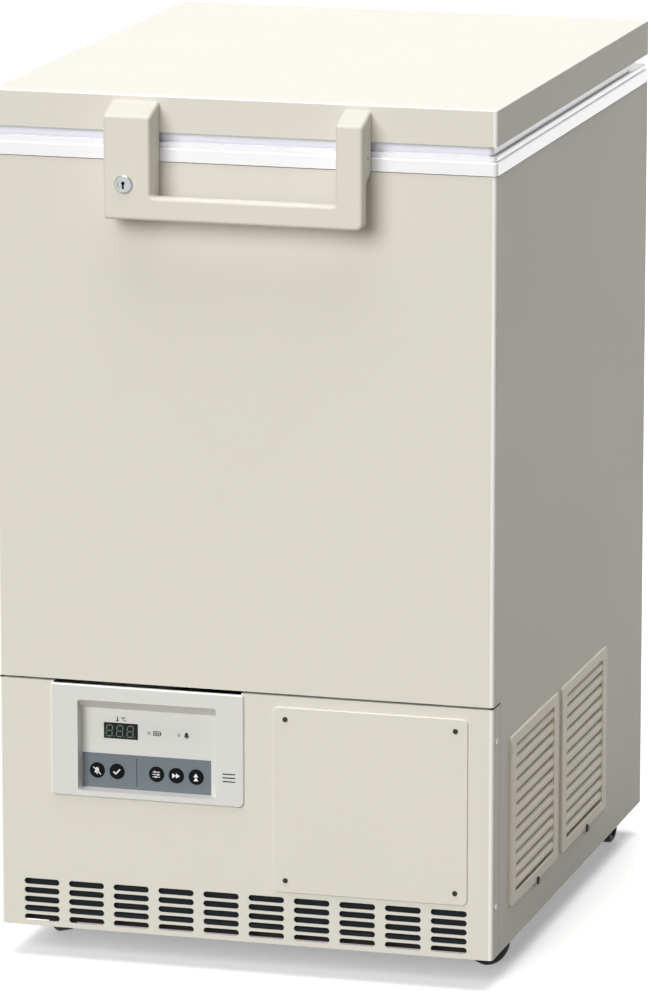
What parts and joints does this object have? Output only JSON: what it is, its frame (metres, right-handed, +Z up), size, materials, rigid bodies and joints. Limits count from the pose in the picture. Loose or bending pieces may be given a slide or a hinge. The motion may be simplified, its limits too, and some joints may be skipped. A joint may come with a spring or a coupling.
{
  "type": "chest freezer",
  "caption": "Compact ultra low temperature chest freezer on casters, with a hinged lid, a lockable front handle, a recessed control panel and louvred side grilles.",
  "frame": {"origin": "on the floor, under the middle of the whole freezer", "axes": "+X to the right as seen from the front, +Y to the back, +Z up; the handle and controls face -Y"},
  "size_m": [0.5549, 0.752, 0.945],
  "materials": {
    "shell_paint": "smooth powder coat",
    "collar_plastic": "smooth moulded",
    "gasket_rubber": "soft matte",
    "handle_plastic": "fine moulded grain",
    "bezel_plastic": "fine moulded grain",
    "key_plastic": "smooth moulded",
    "band_film": "printed film",
    "display_glass": "polished",
    "lens_plastic": "translucent",
    "grille_plastic": "fine moulded grain",
    "foam": "cut foam",
    "liner_steel": "brushed",
    "lid_plastic": "smooth moulded",
    "zinc_steel": "zinc plated",
    "lock_chrome": "polished",
    "black_paint": "gloss paint",
    "wheel_rubber": "smooth moulded",
    "soft_rubber": "matte",
    "copper": "drawn tube",
    "fins": "mill finish",
    "filter_mesh": "woven mesh",
    "black_plastic": "fine moulded grain",
    "box_paint": "smooth powder coat",
    "board": "lacquered board",
    "grey_plastic": "fine moulded grain",
    "screw_steel": "plated",
    "dark_screw": "blackened"
  },
  "bodies": {
    "cabinet": {"cabinet_wrap": "shell_paint", "back_panel": "shell_paint", "rear_cover": "shell_paint", "compartment_ceiling": "zinc_steel", "insulation_foam": "foam", "chamber_liner": "liner_steel", "evaporator_coil": "copper", "top_collar": "collar_plastic", "temperature_sensor": "liner_steel", "port_sleeve": "grey_plastic", "lock_keeper": "zinc_steel", "hinge_brackets": "zinc_steel", "rear_spacers": "grey_plastic", "front_cover": "shell_paint", "blank_plate": "shell_paint", "control_bezel": "bezel_plastic", "keypad_sheet": "band_film", "display_window": "display_glass", "indicator_lenses": "lens_plastic", "control_board": "board", "side_grille_front": "grille_plastic", "side_grille_rear": "grille_plastic", "panel_screws": "screw_steel", "dark_screws": "dark_screw", "base_pan": "zinc_steel", "front_caster_plates": "zinc_steel", "rear_forks": "zinc_steel", "condenser_filter": "filter_mesh", "condenser": "fins", "fan_shroud": "fins", "fan_motor": "zinc_steel", "compressor": "black_paint", "compressor_mounts": "soft_rubber", "refrigerant_pipes": "copper", "filter_drier": "copper", "electrical_box": "box_paint", "backup_battery": "black_plastic", "power_entry": "black_plastic"},
    "lid": {"lid_pan": "shell_paint", "lid_liner": "lid_plastic", "lid_foam": "foam", "lid_gasket": "gasket_rubber", "lid_handle": "handle_plastic", "lock_body": "lock_chrome", "hinge_arms": "zinc_steel"},
    "lock": {"lock_cylinder": "lock_chrome"},
    "mute_button": {"mute_key": "key_plastic"},
    "test_button": {"test_key": "key_plastic"},
    "set_button": {"set_key": "key_plastic"},
    "shift_button": {"shift_key": "key_plastic"},
    "raise_button": {"raise_key": "key_plastic"},
    "fan": {"fan_rotor": "black_plastic"},
    "front_caster_left": {"front_fork_left": "black_paint"},
    "front_caster_right": {"front_fork_right": "black_paint"},
    "wheel_front_left": {"front_wheel_left": "wheel_rubber"},
    "wheel_front_right": {"front_wheel_right": "wheel_rubber"},
    "wheel_rear_left": {"rear_wheel_left": "wheel_rubber"},
    "wheel_rear_right": {"rear_wheel_right": "wheel_rubber"},
    "port_plug": {"port_stopper": "soft_rubber"},
    "mains_switch": {"switch_rocker": "black_plastic"}
  },
  "joints": [
    {"name": "lid_hinge", "type": "hinge", "parent": "cabinet", "child": "lid", "pos_m": [0, 0.357, 0.90125], "axis": [-1, 0, 0], "range_deg": [0, 85]},
    {"name": "lock_turn", "type": "hinge", "parent": "lid", "child": "lock", "pos_m": [-0.118, -0.36, 0.856], "axis": [0, -1, 0], "range_deg": [0, 90]},
    {"name": "fan_spin", "type": "hinge", "parent": "cabinet", "child": "fan", "pos_m": [0.03, -0.22, 0.1326], "axis": [0, 1, 0], "continuous": true},
    {"name": "front_swivel_left", "type": "hinge", "parent": "cabinet", "child": "front_caster_left", "pos_m": [-0.226, -0.241, 0.055], "axis": [0, 0, 1], "continuous": true},
    {"name": "front_swivel_right", "type": "hinge", "parent": "cabinet", "child": "front_caster_right", "pos_m": [0.226, -0.241, 0.055], "axis": [0, 0, 1], "continuous": true},
    {"name": "front_roll_left", "type": "hinge", "parent": "front_caster_left", "child": "wheel_front_left", "pos_m": [-0.24014, -0.22686, 0.025], "axis": [0.7071, 0.7071, 0], "continuous": true},
    {"name": "front_roll_right", "type": "hinge", "parent": "front_caster_right", "child": "wheel_front_right", "pos_m": [0.24014, -0.22686, 0.025], "axis": [0.7071, -0.7071, 0], "continuous": true},
    {"name": "rear_roll_left", "type": "hinge", "parent": "cabinet", "child": "wheel_rear_left", "pos_m": [-0.246, 0.293, 0.025], "axis": [1, 0, 0], "continuous": true},
    {"name": "rear_roll_right", "type": "hinge", "parent": "cabinet", "child": "wheel_rear_right", "pos_m": [0.246, 0.293, 0.025], "axis": [1, 0, 0], "continuous": true},
    {"name": "port_pull", "type": "slide", "parent": "cabinet", "child": "port_plug", "axis": [0, 1, 0], "range_m": [0, 0.04]},
    {"name": "mains_rock", "type": "hinge", "parent": "cabinet", "child": "mains_switch", "pos_m": [0.19, 0.339, 0.135], "axis": [-1, 0, 0], "range_deg": [0, 20]},
    {"name": "mute_press", "type": "slide", "parent": "cabinet", "child": "mute_button", "axis": [0, 1, 0], "range_m": [0, 0.0008], "stiffness_N_per_m": 1500},
    {"name": "test_press", "type": "slide", "parent": "cabinet", "child": "test_button", "axis": [0, 1, 0], "range_m": [0, 0.0008], "stiffness_N_per_m": 1500},
    {"name": "set_press", "type": "slide", "parent": "cabinet", "child": "set_button", "axis": [0, 1, 0], "range_m": [0, 0.0008], "stiffness_N_per_m": 1500},
    {"name": "shift_press", "type": "slide", "parent": "cabinet", "child": "shift_button", "axis": [0, 1, 0], "range_m": [0, 0.0008], "stiffness_N_per_m": 1500},
    {"name": "raise_press", "type": "slide", "parent": "cabinet", "child": "raise_button", "axis": [0, 1, 0], "range_m": [0, 0.0008], "stiffness_N_per_m": 1500}
  ]
}
